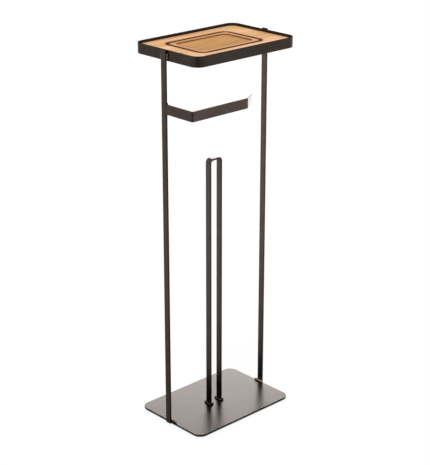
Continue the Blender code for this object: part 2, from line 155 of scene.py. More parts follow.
def add_bump(tree, shader, height, strength, distance):
    """Makes the surface look uneven, without a change of its shape."""
    bump = add(tree, "ShaderNodeBump", Strength=strength, Distance=distance, Height=height)
    tree.links.new(bump.outputs[0], shader.inputs["Normal"])


def start_material(name):
    """A new material with its tree, its Principled shader and the piece's own coordinates."""
    material = bpy.data.materials.new(name)
    material.use_nodes = True
    tree = material.node_tree
    place = tree.nodes.new("ShaderNodeTexCoord").outputs["Object"]
    return material, tree, tree.nodes["Principled BSDF"], place


print("helpers for shader nodes are ready")

# %% [markdown]
# ## The powder coat
# Powder coat is a plastic skin baked onto the steel, here a satin, nearly black brown. Close up it
# has a fine orange peel, and its tone changes a little from place to place. Most of what the eye
# sees is the pale room mirrored in it and tinted by its own brown. So the shader is metallic: its
# colour tints the mirror image, and a roughness of about 0.3 blurs it. The peel is a bump from fine
# noise. Broad clouds and fine specks of noise change the colour, and patches change the roughness.
#
# A bar mirrors something else on each of its sides, and that gives each side its tone. The studio
# further down is simpler than the real one, so the coat itself takes over a part of this as painted
# shade. Its dark_side is the axis along which a bar's darker faces look, and side_shade_tone says
# how dark that painted shade is. The upright_shade_tone does that for every upright face, and
# foot_shade_tone for the lowest centimetres, a painted reflection of the dark plate that they
# mirror. Sheen tints what upward faces mirror at a grazing angle: a low one keeps the thin top edges
# as dark as the photograph shows them. The arm's lip mirrors something bright and looks much paler
# than the rest, so its face gets a neutral colour.

# %% The powder coat
CLOUDS_PER_METRE = 45
CLOUD_RANGE = (0.35, 0.65)
SPECKS_PER_METRE = 1400
SPECK_RANGE = (0.25, 0.75)
SPECK_TONES = (0.92, 1.04)
PATCHES_PER_METRE = 160
PATCH_ROUGHNESS = 0.05
PEEL_PER_METRE = 900
PEEL_STRENGTH = 0.35
BLACK = (0, 0, 0, 1)
WHITE = (1, 1, 1, 1)
# How much of its direction lies along an axis where a face starts to look along it, and fully does.
SQUARELY = (0.5, 0.9)
# The arm's lip looks about half to the right, which no other flat face of the arm does.
LIP_FACES_FROM = (0.3, 0.5)
LIP_FACES_TO = (0.6, 0.8)
FOOT_HEIGHTS = (0.035, 0.085)


def powder_coat(
    name, colour, light_colour, roughness, metal, sheen=None, peel=0.00002,
    dark_side=Y, side_shade_tone=1.0, upright_shade_tone=1.0, foot_shade_tone=1.0, lip_colour=None,
):
    """A satin coat: colour with faint clouds, roughness with faint patches, and an orange peel."""
    material, tree, shader, place = start_material(name)
    clouds = noise(tree, place, (CLOUDS_PER_METRE,) * 3, 4.0, 0.6)
    base = tint(tree, colour, clouds, *CLOUD_RANGE, 1.0, light_colour)
    specks = noise(tree, place, (SPECKS_PER_METRE,) * 3, 2.0, 0.5)
    speckled = spread(tree, specks, *SPECK_RANGE, *SPECK_TONES)
    facing = way_it_faces(tree)
    # Painted shade: darker faces along dark_side, darker upright faces, and darker lowest centimetres.
    narrow = spread(tree, math_node(tree, "ABSOLUTE", facing[dark_side]), *SQUARELY, 1.0, side_shade_tone)
    edge = spread(tree, math_node(tree, "ABSOLUTE", facing[Z]), *SQUARELY, upright_shade_tone, 1.0)
    foot = spread(tree, split(tree, place)[Z], *FOOT_HEIGHTS, foot_shade_tone, 1.0)
    for tone in (speckled, narrow, edge, foot):
        base = blend_colours(tree, tone, BLACK, base)
    if lip_colour is not None:
        turned = spread(tree, facing[X], *LIP_FACES_FROM, 0.0, 1.0)
        lip = math_node(tree, "MULTIPLY", turned, spread(tree, facing[X], *LIP_FACES_TO, 1.0, 0.0))
        base = blend_colours(tree, lip, base, lip_colour)
    tree.links.new(base, shader.inputs["Base Color"])
    patches = noise(tree, place, (PATCHES_PER_METRE,) * 3)
    blur = spread(tree, patches, *MOST_NOISE, roughness, roughness + PATCH_ROUGHNESS)
    tree.links.new(blur, shader.inputs["Roughness"])
    add_bump(tree, shader, noise(tree, place, (PEEL_PER_METRE,) * 3, 2.0), PEEL_STRENGTH, peel)
    shader.inputs["Metallic"].default_value = metal
    if sheen is not None:
        tree.links.new(tint(tree, WHITE, facing[Z], *SQUARELY, 1.0, sheen), shader.inputs["Specular Tint"])
    return material


print("the powder coat is ready, with a peel of", PEEL_PER_METRE, "bumps in a metre")

# %% [markdown]
# ## The coats of the pieces
# It is one coat all over, but each piece mirrors its own part of the room. So the arm, the post,
# each upright, the plate, the rim and the welds get a tone of their own, read off the photograph:
# painted light and shade for what each one mirrors. The rim is a little duller than the bars. Weld
# metal is glossier, because it froze smooth, apart from the bead at the right foot, whose pale coat
# is a painted highlight.

# %% The coats of the pieces
BAR_BROWN = screen(77, 66, 61)
BAR_LIGHT_BROWN = screen(85, 73, 68)
BAR_ROUGHNESS = 0.28
BAR_PEEL = 0.000008
PLATE_PEEL = 0.000003
DARK_TOP = (0.15, 0.12, 0.10, 1)

# Each coat's tone is painted light and shade for the part of the room that its piece mirrors.
ARM_COAT = powder_coat(
    "arm_coat", BAR_BROWN, BAR_LIGHT_BROWN, BAR_ROUGHNESS, 1.0, sheen=(0.60, 0.57, 0.55, 1),
    peel=BAR_PEEL, dark_side=X, side_shade_tone=0.72, lip_colour=screen(77, 72, 69),
)
POST_COAT = powder_coat(
    "post_coat", BAR_BROWN, BAR_LIGHT_BROWN, BAR_ROUGHNESS, 1.0, sheen=(0.66, 0.68, 0.70, 1),
    peel=BAR_PEEL, side_shade_tone=0.60, foot_shade_tone=0.40,
)
LEFT_COAT = powder_coat(
    "left_upright_coat", screen(67, 56, 48), screen(74, 62, 54), BAR_ROUGHNESS, 1.0, sheen=DARK_TOP,
    peel=BAR_PEEL, side_shade_tone=0.60,
)
RIGHT_COAT = powder_coat(
    "right_upright_coat", screen(83, 71, 66), screen(92, 78, 74), BAR_ROUGHNESS, 1.0, sheen=DARK_TOP,
    peel=BAR_PEEL, side_shade_tone=0.60,
)
PLATE_COAT = powder_coat(
    "plate_coat", screen(41, 34, 31), screen(46, 39, 35), 0.29, 0.97, sheen=(1, 0.978, 0.966, 1),
    peel=PLATE_PEEL, upright_shade_tone=0.42,
)
RIM_COAT = powder_coat("rim_coat", screen(56, 48, 44), screen(62, 54, 50), 0.42, 1.0, sheen=DARK_TOP)
RIM_WELD_COAT = powder_coat("rim_weld_coat", screen(78, 67, 60), screen(100, 88, 80), 0.16, 0.95)
# Painted highlight: the right foot's bead is coated pale where it catches the light.
FOOT_WELD_PAINTED_GLINT = powder_coat("foot_weld_painted_glint", screen(132, 124, 114), screen(154, 146, 134), 0.30, 0.9)
WELD_COAT = powder_coat("weld_coat", screen(46, 38, 34), screen(64, 55, 49), 0.07, 0.95)
coats = (
    ARM_COAT, POST_COAT, LEFT_COAT, RIGHT_COAT, PLATE_COAT, RIM_COAT,
    RIM_WELD_COAT, FOOT_WELD_PAINTED_GLINT, WELD_COAT,
)
print("coats:", *(coat.name for coat in coats))

# %% [markdown]
# ## Routed outlines
# The wood is darkened to nearly black along the groove round the insert, with an orange brown
# fringe. Both are drawn by how far a point lies from the routed outline, a rectangle with
# rounded corners. That distance needs no picture, and it follows the cut exactly. The same
# darkening, fainter, is the painted shade along the step of the insert's recess.

# %% Routed outlines
OUTLINE_DARK = screen(44, 8, 2)
OUTLINE_FRINGE = screen(124, 52, 5)
# Shares of a dark band's reach: where its fringe starts and is full, and where the black is full.
FRINGE_START = 2.4
FRINGE_FULL = 0.5
OUTLINE_DARK_FULL = 0.4


def vector_math(tree, operation, *values):
    """The same as math_node, on whole vectors. Returns all outputs: 0 is the vector."""
    sockets = {f"i{index}": value for index, value in enumerate(values)}
    return add(tree, "ShaderNodeVectorMath", {"operation": operation}, **sockets).outputs


def outline_distance(tree, place, centre_x, half_x, half_y, corner):
    """How far outside a rectangle with rounded corners a point lies, seen from above."""
    moved = vector_math(tree, "MULTIPLY_ADD", place, (1, 1, 0), (-centre_x, 0, 0))[0]
    folded = vector_math(tree, "ABSOLUTE", moved)[0]
    past = vector_math(tree, "SUBTRACT", folded, (half_x - corner, half_y - corner, 0))[0]
    outside = vector_math(tree, "MAXIMUM", past, (0, 0, 0))[0]
    round_part = vector_math(tree, "LENGTH", outside)["Value"]
    parts = split(tree, past)
    deepest = math_node(tree, "MINIMUM", math_node(tree, "MAXIMUM", parts[X], parts[Y]), 0.0)
    return math_node(tree, "SUBTRACT", math_node(tree, "ADD", round_part, deepest), corner)


def darken_outline(tree, base, place, shape, reach, darkness):
    """Darkens the wood along a routed outline, as far as the reach and with a fringe beyond it."""
    away = math_node(tree, "ABSOLUTE", outline_distance(tree, place, *shape))
    base = tint(tree, base, away, reach * FRINGE_START, reach * FRINGE_FULL, darkness, OUTLINE_FRINGE)
    return tint(tree, base, away, reach, reach * OUTLINE_DARK_FULL, darkness, OUTLINE_DARK)


print("helpers for routed outlines are ready")

# %% [markdown]
# ## The grain of bamboo
# A bamboo board is glued up from strips. Along each strip run fine fibres, with short dark flecks
# where the plant's vessels were cut, and here and there a faint line crosses a strip at a joint of
# the stalk. So the material works in strips: a number made from the strip's place across the board
# picks its tone and where its joint lies. Noise that is drawn out along the strip makes the fibres
# and the flecks, and the stretches say how many fit in a metre along, across and up.

# %% The grain of bamboo
STRIP_WIDTH = 0.0165
JOINT_PITCH = 0.21
JOINT_SCATTER = 7.3
FIBRES = (22, 900, 900)
BANDS = (5, 130, 130)
FLECKS = (130, 2300, 2300)
WOOD_CLOUDS = (14, 34, 34)
FIBRE_SHARE = 0.42


def strip_pick(tree, strip):
    """A number from 0 to 1 that stays the same along a whole strip."""
    return add(tree, "ShaderNodeTexWhiteNoise", {"noise_dimensions": "1D"}, W=strip).outputs[0]


def from_joint(tree, along, pick):
    """How far along its strip a point lies from a joint of the stalk, as a share of the pitch."""
    shift = math_node(tree, "MULTIPLY", pick, JOINT_SCATTER)
    shifted = math_node(tree, "ADD", math_node(tree, "DIVIDE", along, JOINT_PITCH), shift)
    return math_node(tree, "ABSOLUTE", math_node(tree, "SUBTRACT", math_node(tree, "FRACT", shifted), 0.5))


print("bamboo comes in strips of", STRIP_WIDTH, "m, with a joint every", JOINT_PITCH, "m")

# %% [markdown]
# ## The bamboo
# Over the grain come the tints, one after the other. Some strips are rosier, broad clouds and fine
# flecks are browner, and so is the line at a joint. Faces that don't look straight up get a darker
# brown of their own. A tint is written as the value at which it starts, the value at which it is
# full, its share there and its colour.

# %% The bamboo
GRAIN_DARK = screen(205, 149, 93)
GRAIN_LIGHT = screen(239, 195, 142)
GRAIN_RANGE = (0.38, 0.62)
STRIP_TONES = (0.90, 1.06)
OTHER_PICK = 61.0
ROSY = (0.3, 1.0, 0.35, screen(250, 204, 166))
CLOUDY = (0.55, 0.75, 0.45, screen(204, 140, 80))
FLECKED = (0.62, 0.76, 0.38, screen(150, 96, 54))
AT_A_JOINT = (0.009, 0.0, 0.30, screen(168, 112, 66))
SIDE_FACE_BROWN = (0.90, 0.25, 0.60, screen(132, 76, 48))
RECESS_SHADE = screen(234, 223, 186)
RECESS_FADE = (0.0004, 0.0012)
WOOD_ROUGHNESS = (0.86, 0.76)
WOOD_GLOSS = 0.06
FIBRE_BUMP = 0.00006
FIBRE_STRENGTH = 0.4


def bamboo(name, slide, dark_bands, pale_front=None, shade=None, recess_floor=None):
    """The wood. Slide moves the pattern, so that two pieces aren't cut from the same place. Its
    dark_bands list the routed outlines, each with how far its dark band reaches and how dark it is."""
    material, tree, shader, place = start_material(name)
    moved = add(tree, "ShaderNodeMapping", Vector=place, Location=slide).outputs[0]
    parts = split(tree, moved)
    strip = math_node(tree, "FLOOR", math_node(tree, "DIVIDE", parts[Y], STRIP_WIDTH))
    pick = strip_pick(tree, strip)
    fibres = noise(tree, moved, FIBRES, 5.0, 0.62)
    bands = math_node(tree, "MULTIPLY", noise(tree, moved, BANDS, 3.0, 0.5), 1 - FIBRE_SHARE)
    grain = math_node(tree, "MULTIPLY_ADD", fibres, FIBRE_SHARE, bands)
    base = tint(tree, GRAIN_DARK, grain, *GRAIN_RANGE, 1.0, GRAIN_LIGHT)
    base = blend_colours(tree, spread(tree, pick, 0.0, 1.0, *STRIP_TONES), BLACK, base)
    other_pick = strip_pick(tree, math_node(tree, "ADD", strip, OTHER_PICK))
    base = tint(tree, base, other_pick, *ROSY)
    if pale_front is not None:
        base = tint(tree, base, parts[Y], *pale_front)
    base = tint(tree, base, noise(tree, moved, WOOD_CLOUDS, 3.0, 0.55), *CLOUDY)
    base = tint(tree, base, noise(tree, moved, FLECKS, 2.0, 0.5), *FLECKED)
    base = tint(tree, base, from_joint(tree, parts[X], pick), *AT_A_JOINT)
    if shade is not None:
        base = blend_colours(tree, 1.0, base, shade, "MULTIPLY")
    if recess_floor is not None:
        heights = [recess_floor + height for height in RECESS_FADE]
        on_floor = spread(tree, parts[Z], *heights, 1.0, 0.0)
        base = blend_colours(tree, on_floor, base, RECESS_SHADE, "MULTIPLY")
    for shape, reach, darkness in dark_bands:
        base = darken_outline(tree, base, place, shape, reach, darkness)
    base = tint(tree, base, way_it_faces(tree)[Z], *SIDE_FACE_BROWN)
    tree.links.new(base, shader.inputs["Base Color"])
    tree.links.new(spread(tree, fibres, *MOST_NOISE, *WOOD_ROUGHNESS), shader.inputs["Roughness"])
    add_bump(tree, shader, fibres, FIBRE_STRENGTH, FIBRE_BUMP)
    shader.inputs["Specular IOR Level"].default_value = WOOD_GLOSS
    return material


print("the bamboo is ready, with tones from", STRIP_TONES[0], "to", STRIP_TONES[1])

# %% [markdown]
# ## The wood of the board and of the insert
# The two pieces are cut from different places, so the insert's pattern is slid along and across.
# The board is darkened round its pocket and gets paler towards its front edge. The insert's wood is
# a little darker. It is darkened round its outside, and its recess has a fainter dark line, painted
# shade along its step, and a slightly darker floor.

# %% The wood of the board and of the insert
INSERT_GAP = 0.0026
INSERT_CORNER = 0.013
RECESS_BORDER = 0.0125
RECESS_CORNER = 0.009
RECESS_DEPTH = 0.0015
GROOVE_REACH = 0.0024
GROOVE_DARKNESS = 0.97
RECESS_LINE_REACH = 0.0021
RECESS_LINE_DARKNESS = 0.44
PALE_FRONT = (-0.052, -0.080, 0.60, screen(254, 212, 174))
INSERT_SLIDE = (0.41, 0.0062, 0.0)
INSERT_SHADE = screen(236, 229, 213)

insert_low, insert_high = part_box("wood_insert")


def insert_outline(outwards, corner):
    """The insert's outline, moved outwards: its centre, half length, half width and corner."""
    half = (insert_high - insert_low) / 2
    return (insert_low.x + insert_high.x) / 2, half.x + outwards, half.y + outwards, corner


pocket_dark_band = (insert_outline(INSERT_GAP, INSERT_CORNER + INSERT_GAP), GROOVE_REACH, GROOVE_DARKNESS)
insert_dark_band = (insert_outline(0, INSERT_CORNER), GROOVE_REACH, GROOVE_DARKNESS)
# Painted shade: a faint dark line along the step of the recess.
recess_painted_shade = (insert_outline(-RECESS_BORDER, RECESS_CORNER), RECESS_LINE_REACH, RECESS_LINE_DARKNESS)
BOARD_WOOD = bamboo("board_bamboo", (0.0, 0.0, 0.0), [pocket_dark_band], pale_front=PALE_FRONT)
INSERT_WOOD = bamboo(
    "insert_bamboo", INSERT_SLIDE, [insert_dark_band, recess_painted_shade],
    shade=INSERT_SHADE, recess_floor=insert_high.z - RECESS_DEPTH,
)
print("wood:", BOARD_WOOD.name, INSERT_WOOD.name)

# %% [markdown]
# ## The rubber of the pads
# The pads under the plate are dull black rubber. A fine noise in the roughness and a low bump keep
# the surface from looking like plastic.

# %% The rubber
RUBBER_GRAINS_PER_METRE = 1200
RUBBER_BLACK = screen(22, 21, 21)
RUBBER_GREY = screen(38, 37, 36)
RUBBER_ROUGHNESS = (0.75, 0.9)
RUBBER_BUMP = 0.00005
RUBBER_STRENGTH = 0.5


def rubber(name):
    """Dull black rubber with a fine grain."""
    material, tree, shader, place = start_material(name)
    grain = noise(tree, place, (RUBBER_GRAINS_PER_METRE,) * 3)
    base = tint(tree, RUBBER_BLACK, grain, *MOST_NOISE, 1.0, RUBBER_GREY)
    tree.links.new(base, shader.inputs["Base Color"])
    tree.links.new(spread(tree, grain, *MOST_NOISE, *RUBBER_ROUGHNESS), shader.inputs["Roughness"])
    add_bump(tree, shader, grain, RUBBER_STRENGTH, RUBBER_BUMP)
    return material


PAD_RUBBER = rubber("pad_rubber")
print("rubber:", PAD_RUBBER.name)

# %% [markdown]
# ## Finishes on the CAD's own solids
# A solid whose shape is right stays, and only gets its finish. These are the sheet inside the rim
# and the four pads. All the others gain from a smoother or finer shape, so the cells below model
# them anew in the same places.

# %% Finishes on the CAD's own solids
for node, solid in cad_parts.items():
    if node == "tray_sheet" or node.startswith("pad_"):
        finish = RIM_COAT if node == "tray_sheet" else PAD_RUBBER
        solid.data.materials.clear()
        solid.data.materials.append(finish)
        print(node, "has the finish", finish.name)

# %% [markdown]
# ## Helpers for new pieces
# A new piece is modelled in a bmesh in the place where it stands, so its object can stay at the
# origin. The first helper turns the bmesh into an object. The next makes it a finished piece that
# rides on its body and stands for its CAD node. Then come the slab that the plate, the rim, the
# wood and the uprights start from, and the rounding of its edges.

# %% Helpers for new pieces
EASE_STEPS = 3
SHARP = math.radians(35)


def as_object(bm, name):
    """The bmesh becomes an object at the origin."""
    mesh = bpy.data.meshes.new(name)
    bm.to_mesh(mesh)
    bm.free()
    made = bpy.data.objects.new(name, mesh)
    bpy.context.scene.collection.objects.link(made)
    return made


def finish_piece(bm, name, node, body, material):
    """The bmesh becomes a piece with smooth shading, which replaces the CAD node."""
    piece = as_object(bm, name)
    mesh = piece.data
    mesh.materials.append(material)
    mesh.shade_smooth()
    mesh.set_sharp_from_angle(angle=SHARP)
    shading = piece.modifiers.new("even_shading", "WEIGHTED_NORMAL")
    shading.keep_sharp = True
    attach(piece, body)
    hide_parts(node)
    print(name, "has", len(mesh.polygons), "faces")


def finish_steel(bm, name, node, coat):
    """A steel piece: it belongs to the welded frame, and its material slot is the coated steel."""
    finish_piece(bm, name, node, "frame", coat)


def add_slab(bm, low, high, corner=0.0, steps=1):
    """A block between two corners, its upright edges rounded. Returns its faces."""
    size = high - low
    verts = bmesh.ops.create_cube(bm, size=1)["verts"]
    bmesh.ops.scale(bm, vec=size, verts=verts)
    bmesh.ops.translate(bm, vec=(low + high) / 2, verts=verts)
    edges = {edge for vert in verts for edge in vert.link_edges}
    faces = {face for vert in verts for face in vert.link_faces}
    if corner > 0:
        upright = [e for e in edges if abs(e.verts[0].co.z - e.verts[1].co.z) > size.z / 2]
        made = bmesh.ops.bevel(
            bm, geom=upright, offset=corner, segments=steps, profile=0.5, affect="EDGES", material=-1
        )
        # The bevel makes its neighbours anew, so they are found beside its own faces.
        faces = {face for face in faces if face.is_valid} | set(made["faces"])
        faces |= {neighbour for face in faces for edge in face.edges for neighbour in edge.link_faces}
    return list(faces)


def flat_face(faces, height):
    """The face among these that lies level at this height."""
    return min(faces, key=lambda f: abs(f.calc_center_median().z - height) + 1 - abs(f.normal.z))


def ease(bm, radius, steps=EASE_STEPS):
    """Rounds every sharp edge."""
    bm.normal_update()
    sharp = [e for e in bm.edges if len(e.link_faces) == 2 and e.calc_face_angle(0) > SHARP]
    bmesh.ops.bevel(
        bm, geom=sharp, offset=radius, segments=steps, profile=0.5, affect="EDGES",
        material=-1, clamp_overlap=True,
    )


print("helpers for new pieces are ready")

# %% [markdown]
# ## The base plate
# The plate is cut from sheet steel, its corners are rounded and its edges are broken before it is
# coated. A slab with finely stepped corners and a bevel of 0.3 mm on every edge does that. The
# bevel is what catches the thin line of light along the plate's far edges.

# %% The base plate
PLATE_CORNER = 0.018
PLATE_EASE = 0.0003
STEEL_CORNER_STEPS = 24

bm = bmesh.new()
add_slab(bm, *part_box("base_plate"), PLATE_CORNER, STEEL_CORNER_STEPS)
ease(bm, PLATE_EASE)
finish_steel(bm, "base_plate_sheet", "base_plate", PLATE_COAT)

# %% [markdown]
# ## The tray's rim
# The rim is a strip of steel bent into a closed band. It starts as the same kind of slab. Its top
# and bottom are inset by the strip's thickness, the inner faces are taken out, and the two inner
# loops are bridged into the inside wall. That keeps the wall equally thick round the corners.

# %% The tray's rim
RIM_CORNER = 0.018
RIM_WALL = 0.002
RIM_EASE = 0.0005

low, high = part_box("tray_rim")
bm = bmesh.new()
faces = add_slab(bm, low, high, RIM_CORNER, STEEL_CORNER_STEPS)
bm.normal_update()
caps = [flat_face(faces, high.z), flat_face(faces, low.z)]
bmesh.ops.inset_individual(bm, faces=caps, thickness=RIM_WALL, use_even_offset=True)
loops = [edge for cap in caps for edge in cap.edges]
bmesh.ops.delete(bm, geom=caps, context="FACES_ONLY")
bmesh.ops.bridge_loops(bm, edges=loops)
ease(bm, RIM_EASE)
finish_steel(bm, "tray_rim_band", "tray_rim", RIM_COAT)

# %% [markdown]
# ## The board and its insert
# Both wooden pieces are slabs with a pocket in the top: a deep one in the board, which takes the
# insert, and a shallow one in the insert. The pocket is a second slab turned inside out. The top
# faces of both are taken out, and the outer loop is bridged to the pocket's loop.

# %% The board and its insert
BOARD_CORNER = 0.0152
WOOD_CORNER_STEPS = 16
WOOD_EASE = 0.0008
UNDER_INSERT = 0.0003


def pocketed_slab(low, high, corner, pocket_low, pocket_high, pocket_corner):
    """A slab with a pocket in its top, all edges eased."""
    bm = bmesh.new()
    outer = add_slab(bm, low, high, corner, WOOD_CORNER_STEPS)
    inner = add_slab(bm, pocket_low, pocket_high, pocket_corner, WOOD_CORNER_STEPS)
    bm.normal_update()
    lids = [flat_face(outer, high.z), flat_face(inner, pocket_high.z)]
    inner = [face for face in inner if face is not lids[1]]
    loops = [edge for lid in lids for edge in lid.edges]
    bmesh.ops.delete(bm, geom=lids, context="FACES_ONLY")
    bmesh.ops.reverse_faces(bm, faces=inner)
    bmesh.ops.bridge_loops(bm, edges=loops)
    ease(bm, WOOD_EASE)
    return bm


around = Vector((INSERT_GAP, INSERT_GAP, 0))
pocket_low = insert_low - around - Vector((0, 0, UNDER_INSERT))
pocket_high = insert_high + around
bm = pocketed_slab(
    *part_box("wood_board"), BOARD_CORNER, pocket_low, pocket_high, INSERT_CORNER + INSERT_GAP
)
finish_piece(bm, "bamboo_board", "wood_board", "board", BOARD_WOOD)

border = Vector((RECESS_BORDER, RECESS_BORDER, 0))
recess_low = Vector((insert_low.x, insert_low.y, insert_high.z - RECESS_DEPTH)) + border
recess_high = insert_high - border
bm = pocketed_slab(insert_low, insert_high, INSERT_CORNER, recess_low, recess_high, RECESS_CORNER)
finish_piece(bm, "bamboo_insert", "wood_insert", "insert", INSERT_WOOD)

# %% [markdown]
# ## The uprights
# Each upright is one straight length of flat bar, 13 by 4 mm, with its edges rounded to 1.2 mm by
# the rolling mill. The slab of the plate makes it too; only the sizes differ. Its edge rounding is
# what draws the soft change of tone between the broad face and the narrow edge. The left one
# mirrors a darker part of the room than the right one, so each has a coat of its own, whose tone is
# painted light and shade.

# %% The uprights
BAR_EASE = 0.0012
BAR_EASE_STEPS = 6

for node, coat in (("left_upright", LEFT_COAT), ("right_upright", RIGHT_COAT)):
    bm = bmesh.new()
    add_slab(bm, *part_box(node))
    ease(bm, BAR_EASE, BAR_EASE_STEPS)
    finish_steel(bm, node + "_bar", node, coat)

# %% [markdown]
# ## Bars that are bent
# The post and the roll arm are flat bars bent on a press, so they have round bends with a small inner
# radius and straight runs between them. The bar's end is a rectangle of four edges. Extruding the
# edges draws a straight run, spinning them about the middle of a bend draws the bend, and the two
# open ends are closed at last. That follows what the bender does, and gives no pinched corners.

# %% Helpers for bent bars
BEND_STEPS = 12
SAME_POINT = 0.000001


def bar_end(bm, width, depth, matrix):
    """A rectangle of four edges, from which a bar is drawn."""
    verts = bmesh.ops.create_grid(bm, x_segments=1, y_segments=1, size=0.5)["verts"]
    bmesh.ops.scale(bm, vec=(width, depth, 1), verts=verts)
    bmesh.ops.transform(bm, matrix=matrix, verts=verts)
    edges = list({edge for vert in verts for edge in vert.link_edges})
    faces = list({face for vert in verts for face in vert.link_faces})
    bmesh.ops.delete(bm, geom=faces, context="FACES_ONLY")
    return edges


def draw_on(bm, edges, move):
    """Pulls the open end of a bar along, and returns its new open end."""
    made = bmesh.ops.extrude_edge_only(bm, edges=edges)["geom"]
    verts = [item for item in made if isinstance(item, bmesh.types.BMVert)]
    bmesh.ops.translate(bm, vec=move, verts=verts)
    moved = set(verts)
    return [item for item in made if isinstance(item, bmesh.types.BMEdge) and set(item.verts) <= moved]


def bend_on(bm, edges, centre, axis, angle):
    """Turns the open end of a bar about the middle of a bend, and returns its new open end."""
    made = bmesh.ops.spin(
        bm, geom=edges, cent=centre, axis=axis, dvec=(0, 0, 0), angle=angle, steps=BEND_STEPS,
        use_merge=False, use_normal_flip=False, use_duplicate=False,
    )
    return [item for item in made["geom_last"] if isinstance(item, bmesh.types.BMEdge)]


def close_ends(bm, sides):
    """Closes the open ends of what was drawn, and turns its faces outwards."""
    open_edges = [edge for edge in bm.edges if edge.is_boundary]
    bmesh.ops.holes_fill(bm, edges=open_edges, sides=sides)
    bmesh.ops.recalc_face_normals(bm, faces=bm.faces)


def close_bar(bm, radius, steps):
    """Closes both ends of a bar and rounds its edges."""
    bmesh.ops.remove_doubles(bm, verts=bm.verts, dist=SAME_POINT)
    close_ends(bm, 4)
    ease(bm, radius, steps)


print("helpers for bent bars are ready, with", BEND_STEPS, "steps in a bend")

# %% [markdown]
# ## The spare roll post
# The post is one bar that goes up, over and down, 32 mm across the outside, so that the core of a
# toilet roll slides over it. The two bends lie in the bar's thin direction, and their inner radius
# is 4.5 mm, about the bar's own thickness, which is as tight as such a bar is usually bent.

# %% The spare roll post
POST_BAR = 0.004
POST_INNER_BEND = 0.0045
POST_BEND = POST_INNER_BEND + POST_BAR / 2

post_low, post_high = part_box("spare_roll_post")
middle_y = (post_low.y + post_high.y) / 2
left_x = post_low.x + POST_BAR / 2
right_x = post_high.x - POST_BAR / 2
bend_z = post_high.z - POST_BAR / 2 - POST_BEND
leg = bend_z - post_low.z
bm = bmesh.new()
foot = Matrix.Translation((left_x, middle_y, post_low.z))
end = bar_end(bm, POST_BAR, post_high.y - post_low.y, foot)
end = draw_on(bm, end, (0, 0, leg))
end = bend_on(bm, end, (left_x + POST_BEND, middle_y, bend_z), (0, 1, 0), math.pi / 2)
end = draw_on(bm, end, (right_x - left_x - 2 * POST_BEND, 0, 0))
end = bend_on(bm, end, (right_x - POST_BEND, middle_y, bend_z), (0, 1, 0), math.pi / 2)
draw_on(bm, end, (0, 0, -leg))
close_bar(bm, BAR_EASE, BAR_EASE_STEPS)
finish_steel(bm, "post_bar", "spare_roll_post", POST_COAT)

# %% [markdown]
# ## The roll arm
# The arm's bar stands on edge. It leaves the left upright forwards, turns right into the run that
# carries the roll, and its last 28 mm turn back by about 31 degrees, so that the roll doesn't slip off.

# %% The roll arm
ARM_BAR = 0.003
ARM_EASE = 0.0005
ARM_RUN = 0.135
ARM_INNER_BEND = 0.002
ARM_BEND = ARM_INNER_BEND + ARM_BAR / 2
LIP_INNER_BEND = 0.003
LIP_BEND = LIP_INNER_BEND + ARM_BAR / 2
LIP_LENGTH = 0.028
LIP_ANGLE = math.radians(31)

low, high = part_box("roll_arm")
corner_x = low.x + ARM_BAR / 2
run_y = low.y + ARM_BAR / 2
middle_z = (low.z + high.z) / 2
bend_length = LIP_BEND * math.tan(LIP_ANGLE / 2)
lip_x = corner_x + ARM_RUN - bend_length
lip_way = Vector((math.cos(LIP_ANGLE), math.sin(LIP_ANGLE), 0))
bm = bmesh.new()
at_upright = Matrix.Translation((corner_x, high.y, middle_z)) @ Matrix.Rotation(math.pi / 2, 4, "X")
end = bar_end(bm, ARM_BAR, high.z - low.z, at_upright)
end = draw_on(bm, end, (0, run_y + ARM_BEND - high.y, 0))
end = bend_on(bm, end, (corner_x + ARM_BEND, run_y + ARM_BEND, middle_z), (0, 0, 1), math.pi / 2)
end = draw_on(bm, end, (lip_x - corner_x - ARM_BEND, 0, 0))
end = bend_on(bm, end, (lip_x, run_y + LIP_BEND, middle_z), (0, 0, 1), LIP_ANGLE)
draw_on(bm, end, lip_way * (LIP_LENGTH - bend_length))
close_bar(bm, ARM_EASE, EASE_STEPS)
finish_steel(bm, "arm_bar", "roll_arm", ARM_COAT)

# %% [markdown]
# ## The way of a weld bead
# A weld bead follows the joint that it fills. A few corners give its path. They are rounded, and
# the path is cut into equal steps, because the bead is then made step by step. At each step a
# matrix lays a ring across the path.

# %% Helpers for the way of a bead
BEAD_STEP = 0.00025
CORNER_STEPS = 8


def rounded_path(corners, radius, closed=False):
    """A path through corners, with every corner rounded."""
    count = len(corners)
    points = [] if closed else [corners[0]]
    for index in range(count) if closed else range(1, count - 1):
        corner = corners[index]
        start = corner + (corners[index - 1] - corner).normalized() * radius
        end = corner + (corners[(index + 1) % count] - corner).normalized() * radius
        for step in range(CORNER_STEPS + 1):
            share = step / CORNER_STEPS
            points.append(start.lerp(corner, share).lerp(corner.lerp(end, share), share))
    points.append(points[0] if closed else corners[-1])
    return points


def even_steps(points, step):
    """The same path again in equal steps, and its length."""
    lengths = [(after - before).length for before, after in zip(points, points[1:])]
    total = sum(lengths)
    count = round(total / step)
    made = []
    index = 0
    passed = 0.0
    for number in range(count + 1):
        goal = total * number / count
        while index < len(lengths) - 1 and passed + lengths[index] < goal:
            passed += lengths[index]
            index += 1
        made.append(points[index].lerp(points[index + 1], (goal - passed) / lengths[index]))
    return made, total


def way_ahead(points, index, closed):
    """The direction of a path at one of its points, from the points before and after it."""
    if closed:
        count = len(points) - 1
        return points[(index + 1) % count] - points[(index - 1) % count]
    return points[min(index + 1, len(points) - 1)] - points[max(index - 1, 0)]


def ring_at(point, ahead, normal, size):
    """The matrix that lays a unit ring across the path at a point."""
    along = ahead.normalized()
    turn = Matrix((normal, along.cross(normal), along)).transposed().to_4x4()
    return Matrix.Translation(point) @ turn @ Matrix.Diagonal((size, size, size, 1))


